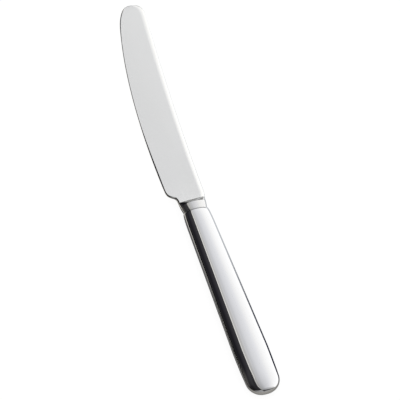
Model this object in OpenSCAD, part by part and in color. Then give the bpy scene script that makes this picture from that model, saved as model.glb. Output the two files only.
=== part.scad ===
// Table knife, lying flat on its side: a ground blade with a notched tang, a short
// collar that the tang passes through, and a hollow handle made of two pressed half
// shells that are joined along the middle plane and filled around the tang.
// Along X runs the length, with the tip at +X. The cutting edge is on the +Y side.
// The handle lies on its underside and carries the blade a little above the table.

/* [Overall] */
// Length of the knife from the butt to the tip
knife_l = 236; // [215:1:255]

/* [Handle] */
// Length of the half shells from the butt to the collar
handle_l = 104.2; // [90:0.2:114]
// Width of the handle at its swell
handle_w = 16.5; // [14:0.1:19]
// Width that the straight taper reaches at the collar
neck_w = 13.3; // [12.7:0.1:13.4]
// Thickness of the handle at its swell
handle_t = 7.7; // [7.3:0.1:9]
// Thickness that the straight taper reaches at the collar
neck_t = 7.7; // [7.3:0.1:7.9]
// Distance of the swell from the butt
swell_x = 24; // [18:1:32]
// How far each side draws in from the swell to the butt
butt_in = 0.75; // [0:0.05:1.5]
// Length of the round end of the handle, seen from above
butt_round_l = 7.25; // [5:0.25:12]
// How far the top and the underside draw in towards the butt
butt_down = 1.8; // [1:0.1:2.2]
// Length over which they do so
butt_down_l = 14; // [10:0.5:18]
// Length of the rounding of the rim around the butt
rim_l = 1.6; // [1.2:0.1:2.5]
// Wall of the pressed half shells
shell_wall = 0.8; // [0.75:0.05:0.9]
// Length of the rounded shoulder next to the collar
shoulder_l = 9; // [6:0.5:12]
// How far the shoulder draws in on each side
shoulder_in = 0.62; // [0.6:0.01:0.9]
// How far the shoulder draws in from above and from below
shoulder_down = 1.06; // [0.9:0.02:1.3]
// Depth of the narrow flat that the handle lies on
rest_flat = 0.05; // [0.03:0.01:0.1]

/* [Collar] */
// Visible length of the collar
collar_l = 6.6; // [5.2:0.2:9]
// Width of the collar at the blade
collar_blade_w = 13.12; // [12.9:0.02:14.2]
// Width of the collar at the handle
collar_handle_w = 11.5; // [11.2:0.1:12]
// Thickness of the collar at the handle
collar_handle_t = 5.2; // [5:0.1:5.4]
// Thickness of the collar's crest, where it is thickest
collar_crest_t = 6.08; // [5.5:0.02:6.6]
// Length of the slope from the crest down to the blade
collar_slope_l = 2.5; // [1.8:0.1:3.2]
// Height of the small step from the blade's face up to the collar
collar_step = 0.15; // [0.05:0.05:0.3]
// Rounding of the edges on both sides of the joint line
joint_r = 0.3; // [0.15:0.05:0.35]
// Length of the spigot that closes the half shells
spigot_l = 3.2; // [2:0.2:5]

/* [Blade] */
// Distance of the cutting edge from the middle line at its deepest
edge_depth = 10.87; // [9.5:0.01:12.5]
// Distance of that deepest place from the collar
edge_deepest_x = 20.8; // [14:0.2:30]
// How far the spine lies from the middle line at the collar
spine_start = 7.32; // [7:0.02:7.8]
// How far the spine lies from the middle line at the tip
spine_end = 13.98; // [11.5:0.02:15]
// How far the spine draws in to meet the collar
spine_ease = 0.55; // [0.4:0.05:0.8]
// Length over which it does so
spine_ease_l = 5; // [3:0.5:8]
// Offset of the tip's foremost point from the middle line
tip_y = 6.34; // [5.5:0.02:7.5]
// Length of the tip's rounding on the cutting side
tip_edge_round_l = 14.6; // [10:0.2:18]
// Length of the tip's rounding on the spine side
tip_spine_round_l = 9.6; // [5:0.2:12]
// Thickness of the blade at the collar
blade_root_t = 2.3; // [2.05:0.05:2.8]
// Thickness of the spine at the tip
blade_tip_t = 1.3; // [1:0.05:1.6]
// Width of the rounding along the spine at the tip
spine_round = 1.3; // [0.8:0.05:1.8]
// Width of that rounding at the collar
root_spine_round = 3; // [2:0.1:4]
// Thickness behind the cutting bevel
edge_t = 0.9; // [0.6:0.05:1.1]
// Thickness there at the collar, where the grinding starts
root_edge_t = 2; // [1.5:0.05:2.05]
// Length over which the grinding reaches its depth
ground_l = 16; // [11:1:22]
// Thickness of the blunt cutting edge itself
edge_blunt_t = 0.3; // [0.2:0.05:0.4]
// Width of the bevel along the cutting edge
bevel_w = 0.55; // [0.4:0.05:0.8]
// Distance from the collar to the heel
choil_l = 3.2; // [2:0.05:4]
// How far the edge side widens on that distance
choil_rise = 0.76; // [0.4:0.02:1.3]
// Length of the heel's rounding
heel_round_l = 7; // [5:0.5:9]

/* [Tang] */
// Length of the tang behind the collar
tang_l = 62; // [50:1:75]
// Width of the tang at the collar
tang_w = 6.6; // [5.5:0.1:7]
// Width of the tang at its end
tang_end_w = 4.4; // [3.8:0.1:5.2]
// Thickness of the tang
tang_t = 1.8; // [1.6:0.05:1.85]
// Radius of the notches that key the tang into the filler
notch_r = 0.8; // [0.5:0.05:1]
// Distance between the notches
notch_pitch = 12; // [10:0.5:15]

/* [Hidden] */

// Clearance of the tang in the collar, and of the filler in the half shells
fit = 0.05;
// Named overrun of every cut
over = 1;
// Notches on each edge of the tang
notch_count = 4;
// Distance of the first notch behind the collar's spigot
notch_start = 8;
// Bevel of the tang's end corners, and how far the tang reaches into the blade
tang_corner = 1.2;
tang_root = 6;

// Roundness of a cross-section: 2 is an ellipse, more is fuller at the sides
handle_full = 2.18;
collar_full = 2.04;
collar_root_full = 2.8;
// Roundness of the handle's end, of its shoulder, of the collar's slope and of the tip
butt_full = 2.2;
shoulder_full = 2.2;
slope_full = 1.15;
tip_full = 2.72;
// How the collar widens and rises and how the spine and the choil run along their lengths
collar_power = 2;
crest_power = 0.7;
spine_power = 1.58;
choil_power = 3.4;
// How the heel turns from the choil into the cutting edge
heel_start_power = 1.13;
heel_power = 4.24;
// Share of the belly's depth that is square and fourth power of the distance
belly_square_share = 0.894;
belly_fourth_share = 0.259;
// Share of the blade's thickness that is left at its foremost point
tip_t_share = 0.3;

// Segments of half a cross-section, and stations along each stretch
half_seg = 20;
butt_steps = 13;
swell_steps = 5;
body_steps = 5;
shoulder_steps = 6;
joint_steps = 3;
spigot_steps = 8;
collar_steps = 5;
slope_steps = 6;
choil_steps = 5;
heel_steps = 11;
blade_steps = 22;
tip_steps = 14;
spine_seg = 4;

// Stations where the pieces meet
collar_x = handle_l;
root_x = collar_x + collar_l;
crest_x = root_x - collar_slope_l;
blade_l = knife_l - root_x;
heel_x = root_x + choil_l;

// Where the handle thins out towards the collar, the knife is tilted by that slope, so the
// handle's underside is parallel to the table.
rest_tilt = atan((handle_t - neck_t) / 2 / (handle_l - swell_x));

// Rises from 0 to 1 over length l with a rounded end
function round_end(x, l, full) = x >= l ? 1 : pow(1 - pow(1 - max(x, 0) / l, full), 1 / full);
// Depth that an edge rounding of radius r removes at distance x from the edge
function edge_round(x, r) = x >= r ? 0 : r - sqrt(r * r - pow(r - max(x, 0), 2));
// Stations after a up to b, closer together near a or near b, or evenly spaced
function dense_start(a, b, n) = [for (i = [1 : n]) a + (b - a) * (1 - cos(90 * i / n))];
function dense_end(a, b, n) = [for (i = [1 : n]) a + (b - a) * sin(90 * i / n)];
function even(a, b, n) = [for (i = [1 : n]) a + (b - a) * i / n];

// Half width and half thickness of the handle at station x, without its round ends
function taper(x) = max(x - swell_x, 0) / (handle_l - swell_x);
function shoulder(x) = 1 - round_end(handle_l - x, shoulder_l, shoulder_full);
function handle_line_a(x) = handle_w / 2 - (handle_w - neck_w) / 2 * taper(x)
    - butt_in * pow(max(1 - x / swell_x, 0), 2) - shoulder_in * shoulder(x);
function handle_line_b(x) = handle_t / 2 - (handle_t - neck_t) / 2 * taper(x)
    - butt_down * pow(max(1 - x / butt_down_l, 0), 2) - shoulder_down * shoulder(x);
// The same with the round butt, the rounded rim and the rounded edge at the joint
function handle_a(x) = (handle_line_a(x) - edge_round(handle_l - x, joint_r))
    * round_end(x, butt_round_l, butt_full);
function handle_b(x) = (handle_line_b(x) - edge_round(handle_l - x, joint_r))
    * round_end(x, rim_l, 2);

// One half of a cross-section at station x, from the +Y side over the top to the -Y side
function half_ring(x, a, b, full) = [for (j = [0 : half_seg])
    let (c = cos(180 * j / half_seg), s = sin(180 * j / half_seg))
    [x, a * sign(c) * pow(abs(c), 2 / full), j == half_seg ? 0 : b * pow(s, 2 / full)]];
// A whole cross-section, closed
function full_ring(x, a, b, full) = let (top = half_ring(x, a, b, full))
    concat(top, [for (j = [half_seg - 1 : -1 : 1]) [top[j][0], top[j][1], -top[j][2]]]);

function flatten(lists) = [for (l = lists) each l];

// Skins a list of closed rings of equal count with triangles
module skin(rings) {
    n = len(rings[0]);
    m = len(rings);
    sides = [for (i = [0 : m - 2], j = [0 : n - 1])
        let (k = (j + 1) % n, p = i * n, q = (i + 1) * n)
        each [[p + j, q + k, p + k], [p + j, q + j, q + k]]];
    start = [for (j = [0 : n - 1]) j];
    end = [for (j = [n - 1 : -1 : 0]) (m - 1) * n + j];
    polyhedron(flatten(rings), concat([start, end], sides));
}

// Skins a half shell between matching outer and inner half rings, whose round ends
// close in one outer and one inner point
module skin_half_shell(outer, inner, outer_end, inner_end) {
    n = half_seg + 1;
    m = len(outer);
    shift = n * m;
    pole = 2 * shift;
    points = concat(flatten(outer), flatten(inner), [outer_end, inner_end]);
    skins = [for (i = [0 : m - 2], j = [0 : n - 2])
        let (p = i * n + j, q = p + n)
        each [[p, q + 1, p + 1], [p, q, q + 1],
            [shift + p, shift + p + 1, shift + q + 1], [shift + p, shift + q + 1, shift + q]]];
    seams = [for (i = [0 : m - 2])
        let (p = i * n, q = p + n, e = n - 1)
        each [[p, shift + q, q], [p, shift + p, shift + q],
            [p + e, q + e, shift + q + e], [p + e, shift + q + e, shift + p + e]]];
    mouth = [for (j = [0 : n - 2])
        let (p = (m - 1) * n + j)
        each [[p, shift + p + 1, p + 1], [p, shift + p, shift + p + 1]]];
    poles = [for (j = [0 : n - 2])
        each [[pole, j, j + 1], [pole + 1, shift + j + 1, shift + j]]];
    pole_seams = [[pole, shift, 0], [pole, pole + 1, shift],
        [pole, n - 1, shift + n - 1], [pole, shift + n - 1, pole + 1]];
    polyhedron(points, concat(skins, seams, mouth, poles, pole_seams));
}

// Stations along the handle, and the same ones moved inwards for its cavity
outer_stations = concat(
    dense_start(0, butt_round_l, butt_steps),
    even(butt_round_l, swell_x, swell_steps),
    even(swell_x, handle_l - shoulder_l, body_steps),
    [for (i = [1 : shoulder_steps]) handle_l - joint_r
        + (joint_r - shoulder_l) * (1 - sin(90 * i / shoulder_steps))],
    [for (i = [1 : joint_steps]) handle_l - joint_r * (1 - sin(90 * i / joint_steps))]);
function inner_station(x) = shell_wall + x * (handle_l - shell_wall) / handle_l;

// The handle's cavity, drawn in by the wall and one more clearance c
function cavity_a(x, c) = (handle_line_a(x) - shell_wall - c)
    * round_end(x - shell_wall - c, butt_round_l, butt_full);
function cavity_b(x, c) = (handle_line_b(x) - shell_wall - c)
    * round_end(x - shell_wall - c, rim_l, 2);
function cavity_ring(x, c) = full_ring(x, cavity_a(x, c), cavity_b(x, c), handle_full);

// Half width and half thickness of the collar at station x, and its roundness there
function collar_a(x) = collar_blade_w / 2 - edge_round(x - collar_x, joint_r)
    - (collar_blade_w - collar_handle_w) / 2 * pow(max(root_x - x, 0) / collar_l, collar_power);
function collar_rise(x) = pow(min((x - collar_x) / (crest_x - collar_x), 1), crest_power);
function collar_b(x) = collar_handle_t / 2 - edge_round(x - collar_x, joint_r)
    + (collar_crest_t - collar_handle_t) / 2 * collar_rise(x)
    - ((collar_crest_t - blade_root_t) / 2 - collar_step)
    * (1 - round_end(root_x - x, collar_slope_l, slope_full));
function collar_shape(x) = collar_full
    + (collar_root_full - collar_full) * pow(max((x - crest_x) / collar_slope_l, 0), 2);

// Outline of the blade, as offsets from the middle line at station x
deepest_x = root_x + edge_deepest_x;
function belly(x) = let (v = (x - deepest_x) / (knife_l - deepest_x))
    edge_depth * (1 - belly_square_share * v * v - belly_fourth_share * pow(v, 4));
function spine(x) = spine_start
    + (spine_end - spine_start) * pow((x - root_x) / blade_l, spine_power)
    - spine_ease * pow(max(1 - (x - root_x) / spine_ease_l, 0), 2);
function choil(x) = collar_blade_w / 2
    + choil_rise * pow(min((x - root_x) / choil_l, 1), choil_power);
function heel(x) = 1
    - pow(1 - pow(max(min((x - heel_x) / heel_round_l, 1), 0), heel_start_power), heel_power);
function tip_side(x) = -tip_y
    + max((belly(x) + tip_y) * round_end(knife_l - x, tip_edge_round_l, tip_full), edge_blunt_t);
function edge_y(x) = choil(x) + (tip_side(x) - choil(x)) * heel(x);
function spine_y(x) = -tip_y
    - max((spine(x) - tip_y) * round_end(knife_l - x, tip_spine_round_l, tip_full), edge_blunt_t);

// Thickness along the spine, behind the bevel and at the blunt edge
function spine_t(x) = blade_root_t
    - (blade_root_t - blade_tip_t) * (x - root_x) / blade_l;
function unground(x) = (root_edge_t - edge_t) * pow(max(1 - (x - root_x) / ground_l, 0), 2);
// Width of the rounding along the spine
function rounding(x) = spine_round
    + (root_spine_round - spine_round) * pow((knife_l - x) / blade_l, 2);
function behind_t(x) = edge_t + unground(x);
function blunt_t(x) = edge_blunt_t + unground(x);

// Cross-section of the blade: bevelled cutting edge, flat faces, rounded spine
function blade_ring(x) = let (ye = edge_y(x), ys = spine_y(x), w = ye - ys,
        bw = min(bevel_w, w / 3), rt = min(rounding(x), w / 3),
        end = max(min((knife_l - x) / bevel_w, 1), tip_t_share),
        hb = blunt_t(x) / 2, he = hb + (behind_t(x) / 2 - hb) * end,
        hs = hb + (spine_t(x) / 2 - hb) * end)
    concat([[x, ye, hb], [x, ye - bw, he]],
        [for (i = [0 : spine_seg - 1]) let (g = 90 * i / spine_seg)
            [x, ys + rt * (1 - sin(g)), hs * cos(g)]],
        [[x, ys, 0]],
        [for (i = [spine_seg - 1 : -1 : 0]) let (g = 90 * i / spine_seg)
            [x, ys + rt * (1 - sin(g)), -hs * cos(g)]],
        [[x, ye - bw, -he], [x, ye, -hb]]);

blade_stations = concat(
    [root_x],
    dense_end(root_x, heel_x, choil_steps),
    dense_start(heel_x, heel_x + heel_round_l, heel_steps),
    even(heel_x + heel_round_l, knife_l - tip_edge_round_l, blade_steps),
    dense_end(knife_l - tip_edge_round_l, knife_l, tip_steps));

// Outline of the tang seen from above, grown by clearance c, and its notches
module tang_outline(c) {
    back_x = collar_x - tang_l - c;
    half = tang_w / 2 + c;
    end_half = tang_end_w / 2 + c;
    polygon([[back_x, end_half - tang_corner], [back_x + tang_corner, end_half],
        [collar_x, half], [root_x + tang_root, half], [root_x + tang_root, -half],
        [collar_x, -half], [back_x + tang_corner, -end_half],
        [back_x, tang_corner - end_half]]);
}
module tang_body(c) {
    translate([0, 0, -tang_t / 2 - c])
        linear_extrude(tang_t + 2 * c)
            tang_outline(c);
}
// Notches on both edges of the tang, or the filler's keys in them, smaller by clearance c
module tang_notches(c) {
    for (i = [0 : notch_count - 1], side = [-1, 1]) {
        x = collar_x - spigot_l - notch_start - i * notch_pitch;
        half = tang_end_w / 2 + (tang_w - tang_end_w) / 2 * (x - collar_x + tang_l) / tang_l;
        translate([x, side * (half + notch_r / 2), -tang_t / 2 - over])
            cylinder(h = tang_t + 2 * over, r = notch_r - c, $fn = 32);
    }
}

// Puts a piece from the knife's own frame down on the table
x_mid = knife_l * cos(rest_tilt) / 2;
y_mid = (edge_depth - max([for (x = blade_stations) -spine_y(x)])) / 2;
lift = handle_t / 2 * cos(rest_tilt) + swell_x * sin(rest_tilt) - rest_flat;
module lying() {
    translate([-x_mid, -y_mid, lift])
        rotate([0, rest_tilt, 0])
            children();
}

// One forging: the ground blade, its thick root and the notched tang
module blade() {
    color([0.80, 0.80, 0.79])
        lying()
            union() {
                skin([for (x = blade_stations) blade_ring(x)]);
                difference() {
                    tang_body(0);
                    tang_notches(0);
                }
            }
}

// Short collar: its visible band, and the spigot that closes the half shells
module bolster_collar() {
    band = concat(
        [for (i = [0 : joint_steps]) collar_x + joint_r * (1 - cos(90 * i / joint_steps))],
        even(collar_x + joint_r, crest_x, collar_steps),
        dense_end(crest_x, root_x, slope_steps));
    spigot = concat([collar_x - spigot_l],
        even(collar_x - spigot_l, collar_x + collar_l / 2, spigot_steps));
    color([0.76, 0.77, 0.79])
        lying()
            difference() {
                union() {
                    skin([for (x = band) full_ring(x, collar_a(x), collar_b(x), collar_shape(x))]);
                    skin([for (x = spigot) let (m = min(x, collar_x))
                        full_ring(x, cavity_a(m, fit), cavity_b(m, fit), handle_full)]);
                }
                tang_body(fit);
            }
}

// Upper half shell, from the mouth at the collar to the round butt
module half_shell() {
    skin_half_shell(
        [for (x = outer_stations) half_ring(x, handle_a(x), handle_b(x), handle_full)],
        [for (s = outer_stations) let (x = inner_station(s))
            half_ring(x, cavity_a(x, 0), cavity_b(x, 0), handle_full)],
        [0, 0, 0], [shell_wall, 0, 0]);
}
module handle_shell_upper() {
    color([0.77, 0.78, 0.80])
        lying()
            half_shell();
}
// Lower half shell, with the narrow flat that the handle lies on
module handle_shell_lower() {
    color([0.74, 0.75, 0.77])
        difference() {
            lying()
                rotate([180, 0, 0])
                    half_shell();
            translate([-knife_l, -handle_w * 2, -handle_t])
                cube([knife_l * 2, handle_w * 4, handle_t]);
        }
}

// Cast filler that holds the tang and backs the thin shells
module handle_filler() {
    back = shell_wall + fit;
    front = collar_x - spigot_l - fit;
    stations = concat(
        dense_start(back, back + butt_round_l, butt_steps),
        even(back + butt_round_l, swell_x, swell_steps),
        even(swell_x, front - shoulder_l / 2, body_steps),
        even(front - shoulder_l / 2, front, joint_steps));
    color([0.62, 0.58, 0.50])
        lying()
            difference() {
                skin([for (x = stations) cavity_ring(x, fit)]);
                difference() {
                    tang_body(fit);
                    tang_notches(fit);
                }
            }
}

blade();
bolster_collar();
handle_shell_upper();
handle_shell_lower();
handle_filler();
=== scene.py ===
import math

import bmesh
import bpy
from mathutils import Matrix, Vector

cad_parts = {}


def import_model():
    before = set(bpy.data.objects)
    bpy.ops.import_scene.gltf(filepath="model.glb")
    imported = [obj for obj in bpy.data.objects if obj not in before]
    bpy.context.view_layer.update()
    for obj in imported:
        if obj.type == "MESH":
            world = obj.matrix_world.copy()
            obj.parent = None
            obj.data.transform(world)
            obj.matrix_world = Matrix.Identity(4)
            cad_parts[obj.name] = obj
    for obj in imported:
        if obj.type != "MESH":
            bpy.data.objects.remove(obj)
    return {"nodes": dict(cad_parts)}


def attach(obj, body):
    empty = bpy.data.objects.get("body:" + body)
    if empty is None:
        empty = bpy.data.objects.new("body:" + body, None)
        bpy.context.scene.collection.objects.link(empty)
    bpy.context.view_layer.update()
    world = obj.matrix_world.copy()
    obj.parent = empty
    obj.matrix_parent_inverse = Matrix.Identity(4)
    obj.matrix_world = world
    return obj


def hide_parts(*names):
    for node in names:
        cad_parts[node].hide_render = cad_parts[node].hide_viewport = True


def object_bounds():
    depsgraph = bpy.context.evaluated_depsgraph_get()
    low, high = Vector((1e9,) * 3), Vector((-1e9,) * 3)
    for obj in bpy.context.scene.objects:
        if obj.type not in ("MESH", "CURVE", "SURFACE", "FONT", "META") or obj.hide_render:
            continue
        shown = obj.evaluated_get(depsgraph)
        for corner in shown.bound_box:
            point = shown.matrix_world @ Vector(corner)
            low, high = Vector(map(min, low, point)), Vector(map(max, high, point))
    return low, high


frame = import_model()
cad_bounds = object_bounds()

MM = 0.001

# Sizes of the knife in millimetres, the same as in its source
KNIFE_L = 236.0
HANDLE_L = 104.2
HANDLE_W = 16.5
NECK_W = 13.3
HANDLE_T = 7.7
NECK_T = 7.7
SWELL_X = 24.0
BUTT_IN = 0.75
BUTT_ROUND_L = 7.25
BUTT_DOWN = 1.8
BUTT_DOWN_L = 14.0
RIM_L = 1.6
SHELL_WALL = 0.8
SHOULDER_L = 9.0
SHOULDER_IN = 0.62
SHOULDER_DOWN = 1.06
REST_FLAT = 0.05
COLLAR_L = 6.6
COLLAR_BLADE_W = 13.12
COLLAR_HANDLE_W = 11.5
COLLAR_HANDLE_T = 5.2
COLLAR_CREST_T = 6.08
COLLAR_SLOPE_L = 2.5
COLLAR_STEP = 0.15
JOINT_R = 0.3
SPIGOT_L = 3.2
EDGE_DEPTH = 10.87
EDGE_DEEPEST_X = 20.8
SPINE_START = 7.32
SPINE_END = 13.98
SPINE_EASE = 0.55
SPINE_EASE_L = 5.0
TIP_Y = 6.34
TIP_EDGE_ROUND_L = 14.6
TIP_SPINE_ROUND_L = 9.6
BLADE_ROOT_T = 2.3
BLADE_TIP_T = 1.3
EDGE_T = 0.9
ROOT_EDGE_T = 2.0
GROUND_L = 16.0
EDGE_BLUNT_T = 0.3
BEVEL_W = 0.55
CHOIL_L = 3.2
CHOIL_RISE = 0.76
HEEL_ROUND_L = 7.0
TANG_L = 62.0
TANG_W = 6.6
TANG_END_W = 4.4
TANG_T = 1.8
TANG_CORNER = 1.2
TANG_ROOT = 6.0
NOTCH_R = 0.8
NOTCH_PITCH = 12.0
NOTCH_START = 8.0
NOTCH_COUNT = 4
FIT = 0.05
HANDLE_FULL = 2.18
COLLAR_FULL = 2.04
COLLAR_ROOT_FULL = 2.8
BUTT_FULL = 2.2
SHOULDER_FULL = 2.2
SLOPE_FULL = 1.15
TIP_FULL = 2.72
COLLAR_POWER = 2.0
CREST_POWER = 0.7
SPINE_POWER = 1.58
CHOIL_POWER = 3.4
HEEL_START_POWER = 1.13
HEEL_POWER = 4.24
BELLY_SQUARE_SHARE = 0.894
BELLY_FOURTH_SHARE = 0.259
TIP_T_SHARE = 0.3

# Fine forms of the blade that only the scene has: the crown along the spine, and the share of
# the bevel's width at stations along the blade
CROWN_ROOT_W = 2.3
CROWN_TIP_W = 2.65
BEVEL_SHARES = ((114.0, 1.3), (120.0, 0.95), (127.0, 1.1), (134.0, 1.15), (164.0, 0.55),
                (214.0, 0.58), (232.0, 0.95))
# How many times wider the bevel gets at most where the edge runs across the knife
BEVEL_STEEP = 1.8
# The thinnest edge, and the chamfer along it as shares of the edge and the bevel
EDGE_LEAST_T = 0.2
CHAMFER_T_SHARE = 0.6
CHAMFER_W_SHARE = 0.12
# Shares of a face's width with points that keep it flat up to its borders
FACE_SHARES = (0.02, 0.06, 0.94, 0.98)

# Segments of half a cross-section and of a quarter of the crown, and stations along each
# stretch of the knife
HALF_SEG = 72
CROWN_SEG = 10
RIM_STEPS = 20
BUTT_STEPS = 24
SWELL_STEPS = 20
BODY_STEPS = 36
SHOULDER_STEPS = 28
JOINT_STEPS = 8
SPIGOT_STEPS = 10
COLLAR_JOINT_STEPS = 6
COLLAR_STEPS = 16
SLOPE_STEPS = 24
NOTCH_STEPS = 8
# Stations along the blade's notch, heel, body and tip, here and in the source, which centres
# the knife by the widest of its own
BLADE_STEPS = (14, 28, 90, 60)
SOURCE_BLADE_STEPS = (5, 11, 22, 14)
# Angles in degrees over which an edge is sharp, on a polished and on a ground piece
POLISHED_SHARP = 32.0
GROUND_SHARP = 24.0
# Distances in metres for merging points and dropping faces without area
MERGE = 1e-7
NO_LENGTH = 1e-8

COLLAR_X = HANDLE_L
ROOT_X = COLLAR_X + COLLAR_L
CREST_X = ROOT_X - COLLAR_SLOPE_L
BLADE_L = KNIFE_L - ROOT_X
HEEL_X = ROOT_X + CHOIL_L
DEEPEST_X = ROOT_X + EDGE_DEEPEST_X
REST_TILT = math.atan((HANDLE_T - NECK_T) / 2 / (HANDLE_L - SWELL_X))


def round_end(x, l, full):
    """Rises from 0 to 1 over length l with a rounded end."""
    if x >= l:
        return 1.0
    return (1 - (1 - max(x, 0.0) / l) ** full) ** (1 / full)


def edge_round(x, r):
    """Depth that an edge rounding of radius r removes at distance x from the edge."""
    return 0.0 if x >= r else r - math.sqrt(r * r - (r - max(x, 0.0)) ** 2)


# Stations after a up to b
def dense_start(a, b, n):
    return [a + (b - a) * (1 - math.cos(math.pi / 2 * i / n)) for i in range(1, n + 1)]


def dense_end(a, b, n):
    return [a + (b - a) * math.sin(math.pi / 2 * i / n) for i in range(1, n + 1)]


def dense_both(a, b, n):
    return [a + (b - a) * (1 - math.cos(math.pi * i / n)) / 2 for i in range(1, n + 1)]


def even(a, b, n):
    return [a + (b - a) * i / n for i in range(1, n + 1)]


# Handle: half width a and half thickness b at station x, first without its round ends
def shoulder(x):
    return 1 - round_end(HANDLE_L - x, SHOULDER_L, SHOULDER_FULL)


def handle_line(x, start, neck, butt, butt_l, down):
    taper = max(x - SWELL_X, 0.0) / (HANDLE_L - SWELL_X)
    return (start / 2 - (start - neck) / 2 * taper
            - butt * max(1 - x / butt_l, 0.0) ** 2 - down * shoulder(x))


def handle_line_a(x):
    return handle_line(x, HANDLE_W, NECK_W, BUTT_IN, SWELL_X, SHOULDER_IN)


def handle_line_b(x):
    return handle_line(x, HANDLE_T, NECK_T, BUTT_DOWN, BUTT_DOWN_L, SHOULDER_DOWN)


def handle_a(x):
    return ((handle_line_a(x) - edge_round(HANDLE_L - x, JOINT_R))
            * round_end(x, BUTT_ROUND_L, BUTT_FULL))


def handle_b(x):
    return (handle_line_b(x) - edge_round(HANDLE_L - x, JOINT_R)) * round_end(x, RIM_L, 2)


# The handle's cavity, drawn in by the wall and one more clearance c
def cavity_a(x, c):
    return ((handle_line_a(x) - SHELL_WALL - c)
            * round_end(x - SHELL_WALL - c, BUTT_ROUND_L, BUTT_FULL))


def cavity_b(x, c):
    return (handle_line_b(x) - SHELL_WALL - c) * round_end(x - SHELL_WALL - c, RIM_L, 2)


# Collar: half width, half thickness and fullness of its section
def collar_a(x):
    run = max(ROOT_X - x, 0.0) / COLLAR_L
    return (COLLAR_BLADE_W / 2 - edge_round(x - COLLAR_X, JOINT_R)
            - (COLLAR_BLADE_W - COLLAR_HANDLE_W) / 2 * run ** COLLAR_POWER)


def collar_b(x):
    rise = min((x - COLLAR_X) / (CREST_X - COLLAR_X), 1.0) ** CREST_POWER
    return (COLLAR_HANDLE_T / 2 - edge_round(x - COLLAR_X, JOINT_R)
            + (COLLAR_CREST_T - COLLAR_HANDLE_T) / 2 * rise
            - ((COLLAR_CREST_T - BLADE_ROOT_T) / 2 - COLLAR_STEP)
            * (1 - round_end(ROOT_X - x, COLLAR_SLOPE_L, SLOPE_FULL)))


def collar_full(x):
    on_slope = max((x - CREST_X) / COLLAR_SLOPE_L, 0.0)
    return COLLAR_FULL + (COLLAR_ROOT_FULL - COLLAR_FULL) * on_slope ** 2


# Outline of the blade, as offsets from the middle line at station x
def belly(x):
    v = (x - DEEPEST_X) / (KNIFE_L - DEEPEST_X)
    return EDGE_DEPTH * (1 - BELLY_SQUARE_SHARE * v * v - BELLY_FOURTH_SHARE * v ** 4)


def spine(x):
    return (SPINE_START + (SPINE_END - SPINE_START) * ((x - ROOT_X) / BLADE_L) ** SPINE_POWER
            - SPINE_EASE * max(1 - (x - ROOT_X) / SPINE_EASE_L, 0.0) ** 2)


def choil(x):
    return COLLAR_BLADE_W / 2 + CHOIL_RISE * min((x - ROOT_X) / CHOIL_L, 1.0) ** CHOIL_POWER


def heel(x):
    t = max(min((x - HEEL_X) / HEEL_ROUND_L, 1.0), 0.0)
    return 1 - (1 - t ** HEEL_START_POWER) ** HEEL_POWER


def tip_side(x):
    end = round_end(KNIFE_L - x, TIP_EDGE_ROUND_L, TIP_FULL)
    return -TIP_Y + max((belly(x) + TIP_Y) * end, EDGE_BLUNT_T)


def edge_y(x):
    return choil(x) + (tip_side(x) - choil(x)) * heel(x)


def edge_slope(x, step=0.02):
    return (edge_y(min(x + step, KNIFE_L)) - edge_y(max(x - step, ROOT_X))) / (2 * step)


def spine_y(x):
    end = round_end(KNIFE_L - x, TIP_SPINE_ROUND_L, TIP_FULL)
    return -TIP_Y - max((spine(x) - TIP_Y) * end, EDGE_BLUNT_T)


# Thickness along the spine, width of its crown, and what the edge has over its ground thickness
def spine_t(x):
    return BLADE_ROOT_T - (BLADE_ROOT_T - BLADE_TIP_T) * (x - ROOT_X) / BLADE_L


def crown_w(x):
    return CROWN_TIP_W + (CROWN_ROOT_W - CROWN_TIP_W) * (KNIFE_L - x) / BLADE_L


def unground(x):
    return (ROOT_EDGE_T - EDGE_T) * max(1 - (x - ROOT_X) / GROUND_L, 0.0) ** 2


def bevel_share(x):
    """Share of the bevel's width at station x, straight between those of BEVEL_SHARES."""
    (start, share), *others = BEVEL_SHARES
    for end, next_share in others:
        if x < end:
            t = max(x - start, 0.0) / (end - start)
            return share + (next_share - share) * t
        start, share = end, next_share
    return share


def blade_stations(choil_n, heel_n, body_n, tip_n):
    heel_end = HEEL_X + HEEL_ROUND_L
    tip_start = KNIFE_L - TIP_EDGE_ROUND_L
    return ([ROOT_X] + dense_end(ROOT_X, HEEL_X, choil_n)
            + dense_start(HEEL_X, heel_end, heel_n)
            + even(heel_end, tip_start, body_n) + dense_end(tip_start, KNIFE_L, tip_n))


# From the knife's own frame down on to the table, in metres
WIDEST_SPINE = max(-spine_y(x) for x in blade_stations(*SOURCE_BLADE_STEPS))
X_MID = KNIFE_L * math.cos(REST_TILT) / 2
Y_MID = (EDGE_DEPTH - WIDEST_SPINE) / 2
LIFT = HANDLE_T / 2 * math.cos(REST_TILT) + SWELL_X * math.sin(REST_TILT) - REST_FLAT
LYING = (Matrix.Translation(Vector((-X_MID, -Y_MID, LIFT)) * MM)
         @ Matrix.Rotation(REST_TILT, 4, "Y") @ Matrix.Scale(MM, 4))


def lay(points):
    """Points from the knife's frame in millimetres to the table's frame in metres, none of
    them outside the solids' box or below the table."""
    low, high = cad_bounds
    out = []
    for p in points:
        q = LYING @ Vector(p)
        x, y, z = (min(max(q[i], low[i]), high[i]) for i in range(3))
        out.append((x, y, max(z, 0.0)))
    return out


def underside(points):
    """The points on the other side of the knife's middle plane, in reverse order."""
    return [(x, y, -z) for x, y, z in reversed(points)]


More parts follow.
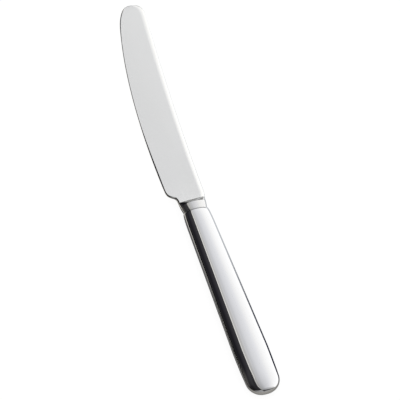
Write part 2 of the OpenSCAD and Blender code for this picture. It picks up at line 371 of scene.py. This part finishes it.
def skin(rings, closed=True):
    """Points and faces of a skin over equal rings of points, with caps if the rings are closed."""
    n = len(rings[0])
    points = [p for r in rings for p in r]
    faces = []
    for i in range(len(rings) - 1):
        for j in range(n if closed else n - 1):
            k = (j + 1) % n
            faces.append((i * n + j, (i + 1) * n + j, (i + 1) * n + k, i * n + k))
    if closed:
        base = (len(rings) - 1) * n
        faces.append(tuple(range(n)))
        faces.append(tuple(base + j for j in range(n - 1, -1, -1)))
    return points, faces


def join(*parts):
    """One list of points and one of faces from several."""
    points, faces = [], []
    for p, f in parts:
        base = len(points)
        points += p
        faces += [tuple(base + i for i in face) for face in f]
    return points, faces


def new_object(name, data):
    obj = bpy.data.objects.new(name, data)
    bpy.context.scene.collection.objects.link(obj)
    return obj


def new_piece(name, points, faces, material, sharp):
    """A mesh object with merged seams, outward faces, smooth shading and sharp edges."""
    mesh = bpy.data.meshes.new(name)
    mesh.from_pydata(lay(points), [], faces)
    bm = bmesh.new()
    bm.from_mesh(mesh)
    bmesh.ops.remove_doubles(bm, verts=bm.verts, dist=MERGE)
    bmesh.ops.dissolve_degenerate(bm, edges=bm.edges, dist=NO_LENGTH)
    bmesh.ops.recalc_face_normals(bm, faces=bm.faces)
    for f in bm.faces:
        f.smooth = True
    for e in bm.edges:
        e.smooth = not (len(e.link_faces) == 2
                        and e.calc_face_angle(0.0) > math.radians(sharp))
    bm.to_mesh(mesh)
    bm.free()
    mesh.materials.append(material)
    obj = new_object(name, mesh)
    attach(obj, "root")
    return obj


class Tree:
    """Short ways to build the node tree of a material or a world."""

    def __init__(self, owner):
        owner.use_nodes = True
        self.nodes, self.links = owner.node_tree.nodes, owner.node_tree.links

    def fill(self, node, inputs):
        """Links other nodes' outputs to a node's inputs, or sets numbers, vectors or colours,
        which get an alpha of 1."""
        for key, value in inputs.items():
            socket = node.inputs[key]
            if isinstance(value, bpy.types.NodeSocket):
                self.links.new(value, socket)
            elif isinstance(value, tuple):
                socket.default_value = (*value, 1.0)[:len(socket.default_value)]
            else:
                socket.default_value = value

    def add(self, kind, inputs=None, **settings):
        """A new node of that kind with its settings and inputs."""
        node = self.nodes.new("ShaderNode" + kind)
        for name, value in settings.items():
            setattr(node, name, value)
        self.fill(node, inputs or {})
        return node

    def math(self, operation, *values):
        return self.add("Math", dict(enumerate(values)), operation=operation).outputs[0]

    def length(self, a, b):
        """Length of the slanted side over two sides a and b at a right angle."""
        squares = (self.math("POWER", side, 2) for side in (a, b))
        return self.math("SQRT", self.math("ADD", *squares))

    def ranged(self, value, low, high, start, end):
        """Runs from low to high while the value runs from start to end."""
        return self.add("MapRange", {
            "Value": value, "From Min": start, "From Max": end, "To Min": low,
            "To Max": high}).outputs["Result"]

    def mixed(self, factor, first, second, blend="MIX"):
        """Blend of two colours, each an output or a tuple of three numbers."""
        return self.add("Mix", {"Factor": factor, "A": first, "B": second},
                        data_type="RGBA", blend_type=blend).outputs["Result"]

    def ramp(self, value, stops):
        """Colour ramp over value from 0 to 1. A stop is a position and a grey or a colour."""
        node = self.add("ValToRGB", {"Fac": value})
        points = node.color_ramp.elements
        while len(points) > 1:
            points.remove(points[-1])
        for i, (place, shade) in enumerate(stops):
            point = points[0] if i == 0 else points.new(place)
            point.position = place
            rgb = shade if isinstance(shade, tuple) else (shade, shade, shade)
            point.color = (*rgb, 1.0)
        return node.outputs["Color"]

    def noise(self, scale, stretch=(1.0, 1.0, 1.0), detail=4.0):
        """Noise in object space, drawn out along the axes with a small stretch."""
        coords = self.add("TexCoord")
        placed = self.add("Mapping", {"Vector": coords.outputs["Object"], "Scale": stretch})
        return self.add("TexNoise", {
            "Vector": placed.outputs["Vector"], "Scale": scale,
            "Detail": detail}).outputs["Fac"]

    def bump(self, height, strength, distance):
        return self.add("Bump", {
            "Height": height, "Strength": strength,
            "Distance": distance}).outputs["Normal"]

    def shown(self):
        """1 for rays from the camera, from metal and through glass, 0 for the others."""
        rays = self.add("LightPath").outputs
        seen = self.math("MAXIMUM", rays["Is Camera Ray"], rays["Is Glossy Ray"])
        return self.math("MAXIMUM", seen, rays["Is Transmission Ray"])


def new_material(name):
    mat = bpy.data.materials.new(name)
    tree = Tree(mat)
    return mat, tree, tree.nodes["Principled BSDF"]


# Materials. Roughness follows the span that nearly all of the noise lies in.
NOISE_SPAN = (0.3, 0.7)


def polished_steel(name, low, high, rough):
    """Mirror polish between two colours and two roughnesses, with hairlines along the knife."""
    mat, tree, shader = new_material(name)
    cloud = tree.noise(60.0, stretch=(1.0, 2.0, 2.0))
    hair = tree.noise(900.0, stretch=(0.06, 1.0, 1.0), detail=2.0)
    ripple = tree.noise(25.0, stretch=(0.4, 1.0, 1.0), detail=1.0)
    tree.fill(shader, {
        "Metallic": 1.0,
        "Base Color": tree.mixed(cloud, low, high),
        "Roughness": tree.ranged(hair, *rough, *NOISE_SPAN),
        "Normal": tree.bump(ripple, strength=0.02, distance=0.0004)})
    return mat


def satin_steel():
    """Fine satin, ground along the blade."""
    mat, tree, shader = new_material("satin_steel")
    cloud = tree.noise(40.0, stretch=(0.5, 1.5, 1.0))
    grain = tree.noise(2600.0, stretch=(0.035, 1.0, 1.0), detail=3.0)
    tree.fill(shader, {
        "Metallic": 1.0,
        "Anisotropic": 0.4,
        "Base Color": tree.mixed(cloud, (0.952, 0.949, 0.926), (0.967, 0.964, 0.941)),
        "Roughness": tree.ranged(grain, 0.25, 0.27, *NOISE_SPAN),
        "Normal": tree.bump(grain, strength=0.01, distance=0.00003)})
    return mat


def cast_filler():
    """Matte cement with fine spots."""
    mat, tree, shader = new_material("cast_filler")
    spots = tree.noise(700.0, detail=5.0)
    tree.fill(shader, {
        "Base Color": tree.mixed(spots, (0.34, 0.30, 0.24), (0.55, 0.50, 0.42)),
        "Roughness": 0.85,
        "Normal": tree.bump(spots, strength=0.4, distance=0.0002)})
    return mat


# Pieces
def half_ring(x, a, b, full, side=1):
    """Half of a superelliptic section at station x, over or under the middle plane."""
    ring = []
    for j in range(HALF_SEG + 1):
        t = math.pi * j / HALF_SEG
        c, s = math.cos(t), math.sin(t)
        ring.append((x, a * math.copysign(abs(c) ** (2 / full), c),
                     0.0 if j in (0, HALF_SEG) else side * b * s ** (2 / full)))
    return ring


def full_ring(x, a, b, full):
    top = half_ring(x, a, b, full)
    return top + underside(top[1:-1])


def half_shell(name, node, side, material):
    """A pressed half shell: outer skin, inner skin, and the faces along its edges."""
    shoulder_x = HANDLE_L - SHOULDER_L
    edge = HANDLE_L - JOINT_R
    outer = ([0.0] + dense_start(0.0, RIM_L, RIM_STEPS)
             + dense_start(RIM_L, BUTT_ROUND_L, BUTT_STEPS)
             + even(BUTT_ROUND_L, SWELL_X, SWELL_STEPS)
             + even(SWELL_X, shoulder_x, BODY_STEPS)
             + dense_end(shoulder_x, edge, SHOULDER_STEPS)
             + dense_end(edge, HANDLE_L, JOINT_STEPS))
    inner = [SHELL_WALL + x * (HANDLE_L - SHELL_WALL) / HANDLE_L for x in outer]
    outer_rings = [half_ring(x, handle_a(x), handle_b(x), HANDLE_FULL, side) for x in outer]
    inner_rings = [half_ring(x, cavity_a(x, 0), cavity_b(x, 0), HANDLE_FULL, side)
                   for x in inner]
    seams = [[[ring[k] for ring in rings] for rings in (outer_rings, inner_rings)]
             for k in (0, -1)]
    mouth = [outer_rings[-1], inner_rings[-1]]
    parts = [skin(rings, closed=False) for rings in (outer_rings, inner_rings, *seams, mouth)]
    piece = new_piece(name, *join(*parts), material, POLISHED_SHARP)
    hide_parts(node)


def collar(material):
    """The collar's band with its rounded crest, and its spigot in the half shells."""
    start = COLLAR_X - SPIGOT_L
    edge = COLLAR_X + JOINT_R
    spigot = [full_ring(x, cavity_a(x, FIT), cavity_b(x, FIT), HANDLE_FULL)
              for x in [start] + even(start, COLLAR_X, SPIGOT_STEPS)]
    band = [full_ring(x, collar_a(x), collar_b(x), collar_full(x))
            for x in [COLLAR_X] + dense_start(COLLAR_X, edge, COLLAR_JOINT_STEPS)
            + even(edge, CREST_X, COLLAR_STEPS) + dense_both(CREST_X, ROOT_X, SLOPE_STEPS)]
    piece = new_piece("collar_band", *skin(spigot + band), material, POLISHED_SHARP)
    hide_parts("bolster_collar")


def blade_ring(x):
    """Cross-section of the blade: cutting edge with a chamfer and a bevel, flat faces and a
    crowned spine. Half thicknesses are hb at the edge, he behind the bevel and hs at the
    spine."""
    ye, ys = edge_y(x), spine_y(x)
    w = ye - ys
    fine = bevel_share(x)
    steep = min(math.hypot(1.0, edge_slope(x)), BEVEL_STEEP)
    bw = min(BEVEL_W * fine * steep, w / 3)
    rt = min(crown_w(x), w / 3)
    end = max(min((KNIFE_L - x) / BEVEL_W, 1.0), TIP_T_SHARE)
    blunt = (EDGE_BLUNT_T + unground(x)) / 2
    rise = (EDGE_T - EDGE_BLUNT_T) / 2 * end
    he = blunt + rise * min(fine, 1.0)
    hs = blunt + (spine_t(x) / 2 - blunt) * end
    hb = max(he - rise * bw / BEVEL_W, EDGE_LEAST_T / 2)
    top = [(x, ye, hb * CHAMFER_T_SHARE), (x, ye - bw * CHAMFER_W_SHARE, hb), (x, ye - bw, he)]
    face = w - bw - rt
    for share in FACE_SHARES:
        top.append((x, ye - bw - face * share, he + (hs - he) * share))
    for i in range(CROWN_SEG):
        g = math.pi / 2 * i / CROWN_SEG
        top.append((x, ys + rt * (1 - math.sin(g)), hs * math.cos(g)))
    return top + [(x, ys, 0.0)] + underside(top)


def tang():
    """Outline of the tang with half-round notches, extruded."""
    back = COLLAR_X - TANG_L

    def half(x):
        return TANG_END_W / 2 + (TANG_W - TANG_END_W) / 2 * (x - back) / TANG_L

    side = [(back, TANG_END_W / 2 - TANG_CORNER), (back + TANG_CORNER, TANG_END_W / 2)]
    for k in reversed(range(NOTCH_COUNT)):
        x = COLLAR_X - SPIGOT_L - NOTCH_START - k * NOTCH_PITCH
        for i in range(NOTCH_STEPS + 1):
            t = math.pi * i / NOTCH_STEPS
            side.append((x - NOTCH_R * math.cos(t), half(x) - NOTCH_R / 2 * math.sin(t)))
    side += [(COLLAR_X, TANG_W / 2), (ROOT_X + TANG_ROOT, TANG_W / 2)]
    outline = side + [(x, -y) for x, y in reversed(side)]
    return skin([[(x, y, z) for x, y in outline] for z in (-TANG_T / 2, TANG_T / 2)])


def blade(material):
    """The ground blade with its tang."""
    rings = [blade_ring(x) for x in blade_stations(*BLADE_STEPS)]
    piece = new_piece("ground_blade", *join(skin(rings), tang()), material, GROUND_SHARP)
    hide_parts("blade")


steel = polished_steel(
    "polished_steel", low=(0.85, 0.85, 0.853), high=(0.88, 0.88, 0.883), rough=(0.03, 0.07))
half_shell("upper_half_shell", "handle_shell_upper", 1, steel)
half_shell("lower_half_shell", "handle_shell_lower", -1, steel)
collar(polished_steel(
    "polished_collar", low=(0.79, 0.785, 0.775), high=(0.82, 0.815, 0.805),
    rough=(0.09, 0.13)))
blade(satin_steel())
filler = frame["nodes"]["handle_filler"].data.materials
filler.clear()
filler.append(cast_filler())


# Studio: a white floor and world, a light tent, and a mat painted with the table's reflection
# and its shadow, which only polished metal mirrors, all in metres. Left is the side of the
# cutting edge and right that of the spine.
TENT_R = 20.0
TENT_RINGS = 24
TENT_SIDES = 96
TENT_GLOW = 1.3
# The black card's edge winds by up to so many degrees, which set in over a span of angles
CARD_WINDS = 6
CARD_WINDS_SPAN = (5, 11)
# Turns the darkness at the tent's ends, and widens what is dark beyond the knife
ENDS_TURN = 0.7
BEYOND_WIDE = 0.5
# The mat painted with the table's reflection and its shadow: half its size, its height and its
# glow
MAT_HALF = 2.5
MAT_Z = -0.00001
MAT_GLOW = 1.0
# Spans over which the mat's painted shades change, along the knife from its butt
LEFT_NECK = (0.04, 0.092)
LEFT_BLADE = (0.11, 0.118)
RIGHT_NEAR = (0.0, 0.1)
RIGHT_FAR = (0.035, 0.1)
BUTT_BEHIND = (0.016, 0.0)
BEHIND_FADES = (0.0, -0.1)
# The same across the knife from its axis, with minus to the right
LEFT_STRIPS = (0.0, 0.2)
RIGHT_TO_FAR = (-0.05, -0.14)
# How far along the knife a place on the mat lies from the station that mirrors it, as a share
# of how far across it lies
MIRRORED_ALONG = 0.65
FLOOR_HALF = 3.0
FLOOR_Z = -0.00002
FLOOR_LIT = (0.8, 0.8, 0.8)
FLOOR_SHOWN = (0.2, 0.2, 0.2)
FLOOR_GLOW = 0.88
WORLD_LIT = 0.8
WHITE = (1.0, 1.0, 1.0)


def stage_piece(name, points, faces, material, glossy_only=False):
    mesh = bpy.data.meshes.new(name)
    mesh.from_pydata(points, [], faces)
    mesh.materials.append(material)
    obj = new_object(name, mesh)
    if glossy_only:
        obj.visible_camera = False
        obj.visible_diffuse = False
        obj.visible_transmission = False
        obj.visible_volume_scatter = False
        obj.visible_shadow = False


def square(half, z):
    return [(-half, -half, z), (half, -half, z), (half, half, z), (-half, half, z)], [(0, 1, 2, 3)]


def half_sphere(r, rings, sides):
    points = [(0.0, 0.0, r)]
    for i in range(1, rings + 1):
        high = math.pi / 2 * (1 - i / rings)
        for j in range(sides):
            around = 2 * math.pi * j / sides
            points.append((r * math.cos(high) * math.cos(around),
                           r * math.cos(high) * math.sin(around), r * math.sin(high)))
    faces = [(0, 1 + j, 1 + (j + 1) % sides) for j in range(sides)]
    for i in range(rings - 1):
        for j in range(sides):
            k = (j + 1) % sides
            a, b = 1 + i * sides, 1 + (i + 1) * sides
            faces.append((a + j, b + j, b + k, a + k))
    return points, faces


def floor():
    """White table. It shows white to the camera and in glass, and keeps a soft shadow."""
    mat, tree, shader = new_material("floor")
    shown = tree.shown()
    tree.fill(shader, {
        "Base Color": tree.mixed(shown, FLOOR_LIT, FLOOR_SHOWN),
        "Roughness": 0.9,
        "Specular IOR Level": 0.0,
        "Emission Color": WHITE,
        "Emission Strength": tree.math("MULTIPLY", shown, FLOOR_GLOW)})
    stage_piece("floor", *square(FLOOR_HALF, FLOOR_Z), mat)


def glow_material(name, strength):
    """A material that only glows, the node that takes its colour, and a point's x, y and z."""
    mat, tree, shader = new_material(name)
    tree.nodes.remove(shader)
    glow = tree.add("Emission", {"Strength": strength})
    tree.fill(tree.nodes["Material Output"], {"Surface": glow.outputs[0]})
    coords = tree.add("TexCoord")
    axes = tree.add("SeparateXYZ", {0: coords.outputs["Object"]})
    return mat, tree, glow, axes.outputs


def tent():
    """Light tent over the knife. Across the knife it runs from a bright side on the right over
    a softer top and one bright line to a black card on the left. Along the knife it is darker
    low down at both ends."""
    mat, tree, glow, (x, y, z) = glow_material("tent", TENT_GLOW)

    def share(degrees):
        """An angle as a share of a full turn, with 0.5 for no angle."""
        return 0.5 + degrees / 360

    def turn(a, b):
        """Such a share for the angle of a from b."""
        return tree.ranged(tree.math("ARCTAN2", a, b), 0.0, 1.0, -math.pi, math.pi)

    def cards(angle, *stops):
        """Ramp over such a share, with stops in degrees."""
        return tree.ramp(angle, [(share(degrees), shade) for degrees, shade in stops])

    aside = turn(y, z)
    # The black card's edge winds: it comes nearest to the top overhead and far beyond the
    # tip, and lies furthest from it 28 degrees towards the tip
    winding = cards(
        turn(x, z), (0, 0.75), (9, 0.92), (15, 0.75), (20, 0.45), (24, 0.15), (28, 0.0),
        (31, 0.21), (34, 0.50), (40, 0.54), (46, 0.57), (52, 0.77), (60, 1.0))
    near = tree.ranged(aside, 0.0, CARD_WINDS / 360, *map(share, CARD_WINDS_SPAN))
    black = (0.033, 0.032, 0.036)
    across = cards(
        tree.math("ADD", aside, tree.math("MULTIPLY", near, winding)),
        (-95, 0.98), (-60, 0.88), (-40, 0.83), (-30, 0.77), (-20, (0.675, 0.68, 0.70)),
        (-12, (0.605, 0.61, 0.63)), (-6, (0.55, 0.555, 0.575)), (0, (0.47, 0.475, 0.49)),
        (3, (0.485, 0.49, 0.505)), (5.5, 0.475), (8, 0.42), (14.35, (0.405, 0.40, 0.39)),
        (14.85, (0.49, 0.48, 0.46)), (15.25, (0.97, 0.96, 0.91)), (16.55, (0.97, 0.96, 0.91)),
        (17.1, black), (27, black), (50, (0.0125, 0.0118, 0.0155)),
        (75, (0.0225, 0.022, 0.024)), (90, 0.005))
    # The ends' darkness is turned, so that the bright side stays bright lower down
    ahead = tree.math("SUBTRACT", x, tree.math("MULTIPLY", y, ENDS_TURN))
    along = cards(
        turn(ahead, z), (-95, 0.36), (-80, 0.30), (-72, 0.06), (-56, 0.06), (-50, 0.42),
        (-40, 0.50), (-30, 0.54), (-16, 0.59), (-8, 0.63), (0, 0.70), (7, 0.79), (13, 0.875),
        (19, 0.94), (27, 1.0))
    rest = tree.length(tree.math("MULTIPLY", y, BEYOND_WIDE), z)
    beyond = cards(turn(x, rest), (0, 1.0), (62, 1.0), (68, 0.25), (95, 0.25))
    shade = tree.mixed(1.0, across, tree.math("MULTIPLY", along, beyond), "MULTIPLY")
    # A faint card low on the left that the collar mirrors
    lean = turn(x, tree.length(y, z))
    extent = cards(lean, (-10, 0.3), (0, 0.3), (8, 1.0), (22, 1.0), (28, 0.0))
    card = cards(
        aside, (20, 0.0), (27, 0.013), (52, 0.013), (62, (0.045, 0.043, 0.040)),
        (80, (0.06, 0.058, 0.054)))
    shade = tree.mixed(extent, shade, card, "ADD")
    # Behind the butt the black card ends, so that the knife isn't black from the tip's side
    extent = cards(lean, (-45, 1.0), (-38, 1.0), (-24, 0.0))
    card = cards(aside, (10, 0.0), (25, 0.30), (55, 0.26), (80, 0.10))
    tree.fill(glow, {"Color": tree.mixed(extent, shade, card, "ADD")})
    stage_piece("tent", *half_sphere(TENT_R, TENT_RINGS, TENT_SIDES), mat, glossy_only=True)


def painted_reflection_and_shadow_mat():
    """Mat under the knife that only its metal mirrors, painted with the table's reflection and its
    shadow: beige on the left, bluish on the right and dark in painted contact shadow close to
    the handle, with a strip of grey along the handle's left and a plain grey behind the butt."""
    mat, tree, glow, (x, y, _) = glow_material("mat", MAT_GLOW)
    axis_y = -Y_MID * MM
    butt_x = -X_MID * MM

    def along(place, span):
        """0 up to a span's first distance from the butt and 1 from its second on."""
        return tree.ranged(place, 0.0, 1.0, *(butt_x + far for far in span))

    def across(span):
        """The same from the knife's axis."""
        return tree.ranged(y, 0.0, 1.0, *(axis_y + far for far in span))

    def mirroring(way):
        """Where the handle mirrors a place on the mat. The way is SUBTRACT for one on the left
        and ADD for one on the right."""
        off = tree.math("SUBTRACT", y, axis_y)
        return tree.math(way, x, tree.math("MULTIPLY", off, MIRRORED_ALONG))

    aside = across(LEFT_STRIPS)
    # Painted reflection of the table on the left, with painted contact shadow: at the butt dark
    # close to the handle and beyond one grey strip, at the neck dark close to the handle and paler
    # further out, and beige by the blade
    left_butt = tree.ramp(aside, (
        (0.0, 0.010), (0.052, 0.012), (0.072, (0.325, 0.32, 0.31)), (0.09, (0.203, 0.20, 0.194)),
        (0.112, 0.03), (0.15, 0.008), (0.3, 0.004)))
    left_neck = tree.ramp(aside, (
        (0.0, 0.12), (0.05, 0.12), (0.075, 0.075), (0.105, 0.17), (0.15, (0.335, 0.33, 0.32)),
        (0.3, 0.50), (0.65, 0.65)))
    left_blade = (0.58, 0.56, 0.52)
    left = tree.mixed(along(mirroring("SUBTRACT"), LEFT_NECK), left_butt, left_neck)
    left = tree.mixed(along(x, LEFT_BLADE), left, left_blade)

    # Painted contact shadow on the right close to the handle: dark bluish at the butt, paler
    # towards the neck
    right_near = tree.ramp(along(x, RIGHT_NEAR), (
        (0.0, (0.028, 0.032, 0.052)), (0.30, (0.018, 0.022, 0.042)), (0.50, (0.055, 0.063, 0.088)),
        (0.60, (0.145, 0.153, 0.175)), (0.70, (0.28, 0.295, 0.32)), (0.85, (0.48, 0.50, 0.525)),
        (1.0, (0.60, 0.62, 0.65))))
    # Seen in the handle, the far mat's painted shade changes straight across the knife, from
    # painted shadow near the butt to bright towards the neck
    right_far = tree.mixed(
        along(mirroring("ADD"), RIGHT_FAR), (0.02, 0.022, 0.045), (0.93, 0.94, 0.955))
    right = tree.mixed(across(RIGHT_TO_FAR), right_near, right_far)

    beside = tree.mixed(tree.math("LESS_THAN", y, axis_y), left, right)
    # Painted reflection of the table behind the butt, a plain grey, darker in painted shadow close
    # to it
    behind = tree.ramp(along(x, BEHIND_FADES), (
        (0.0, (0.25, 0.245, 0.23)), (0.06, (0.33, 0.32, 0.30)), (0.4, (0.38, 0.37, 0.35))))
    tree.fill(glow, {"Color": tree.mixed(along(x, BUTT_BEHIND), beside, behind)})
    stage_piece("mat", *square(MAT_HALF, MAT_Z), mat, glossy_only=True)


def world():
    """White world, which lights the knife a little less than it shows."""
    bpy.context.scene.world = bpy.data.worlds.new("studio")
    tree = Tree(bpy.context.scene.world)
    tree.fill(tree.nodes["Background"], {
        "Color": WHITE, "Strength": tree.ranged(tree.shown(), WORLD_LIT, 1.0, 0.0, 1.0)})


def camera():
    """The photograph's camera, fitted in the knife's own frame: how far it stands from the
    point that it looks at, how high over the blade's plane, and how far to the cutting side."""
    distance, elevation, yaw = 1000.0, math.radians(55), math.radians(18.0475)
    focal_px, image_px, sensor = 2096.0, 400, 36.0
    aim = Vector((109.94, -3.985, 0.0))
    away = Vector((-math.cos(elevation) * math.cos(yaw), math.cos(elevation) * math.sin(yaw),
                   math.sin(elevation)))
    data = bpy.data.cameras.new("camera")
    data.sensor_width = sensor
    data.lens = focal_px / image_px * sensor
    data.clip_start = 0.05
    data.clip_end = 4 * TENT_R
    obj = new_object("camera", data)
    turned = LYING.to_3x3().normalized()
    z = (turned @ away).normalized()
    x = (turned @ Vector((-math.sin(yaw), -math.cos(yaw), 0.0))).normalized()
    y = z.cross(x)
    place = LYING @ (aim + away * distance)
    obj.matrix_world = Matrix(((x.x, y.x, z.x, place.x), (x.y, y.y, z.y, place.y),
                               (x.z, y.z, z.z, place.z), (0, 0, 0, 1)))
    bpy.context.scene.camera = obj


floor()
tent()
painted_reflection_and_shadow_mat()
world()
camera()
bpy.context.scene.view_settings.view_transform = "Standard"
